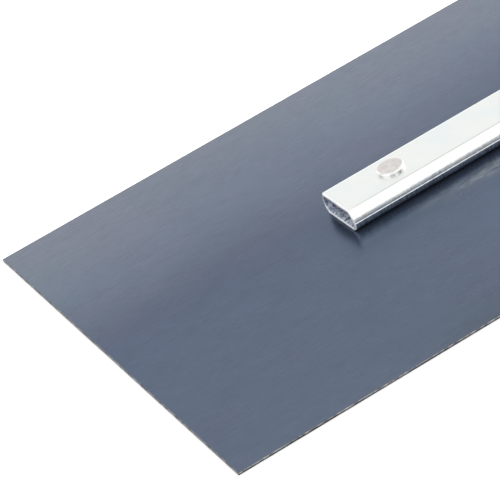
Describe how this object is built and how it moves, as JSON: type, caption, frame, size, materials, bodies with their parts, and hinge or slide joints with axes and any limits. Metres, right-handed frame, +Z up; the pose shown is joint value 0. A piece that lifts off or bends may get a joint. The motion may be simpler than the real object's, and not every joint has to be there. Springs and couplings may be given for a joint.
{
  "type": "steel finishing trowel",
  "caption": "Flat rectangular finishing trowel: thin blued spring-steel blade riveted to a flattened zinc-plated tube that bends up and back into a wooden grip.",
  "frame": {"origin": "centre of the blade's underside, the face that works the surface", "axes": "+X along the blade to the toe, +Y across the blade, +Z up from the blade to the grip"},
  "size_m": [0.28, 0.13, 0.0831],
  "materials": {
    "blued_steel": "tempered blue spring steel, faintly brushed, semi-gloss",
    "zinc_plated_steel": "bright zinc plating, drawn tube",
    "rivet_steel": "pressed plain steel, matte top",
    "beech": "turned beech, clear lacquer",
    "fitting_steel": "zinc-plated pressed steel",
    "black_plastic": "moulded black polyethylene"
  },
  "bodies": {
    "root": {"blade": "blued_steel", "mount_tube": "zinc_plated_steel", "rivet_1": "rivet_steel", "rivet_2": "rivet_steel", "rivet_3": "rivet_steel", "rivet_4": "rivet_steel", "grip": "beech", "front_ferrule": "fitting_steel", "grip_pin": "fitting_steel", "rear_washer": "fitting_steel", "end_plug": "black_plastic"}
  },
  "joints": []
}
